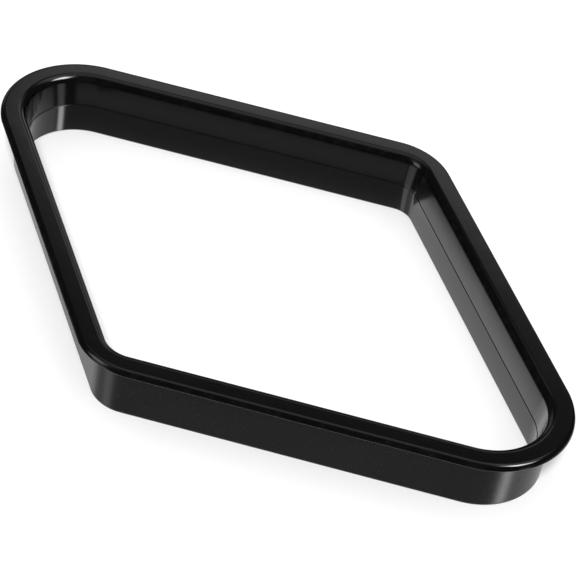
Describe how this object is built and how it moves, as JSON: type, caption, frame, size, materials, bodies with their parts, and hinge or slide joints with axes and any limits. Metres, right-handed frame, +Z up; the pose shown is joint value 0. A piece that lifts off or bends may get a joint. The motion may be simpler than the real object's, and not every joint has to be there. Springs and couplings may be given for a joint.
{
  "type": "diamond ball rack",
  "caption": "Diamond-shaped black plastic ring with a flanged top rim, which gathers pool balls into a diamond on the table.",
  "frame": {"origin": "centre of the ring, on the surface that the rack rests on", "axes": "+X along the long diagonal towards one 60 degree tip, +Y along the short diagonal, +Z up from the resting edge to the flange"},
  "size_m": [0.2884, 0.1986, 0.0284],
  "materials": {
    "rim_plastic": "black, satin gloss, smooth moulded",
    "skirt_plastic": "black, satin gloss, smooth moulded, slightly softer shine than the rim"
  },
  "bodies": {
    "root": {"top_rim": "rim_plastic", "skirt": "skirt_plastic"}
  },
  "joints": []
}
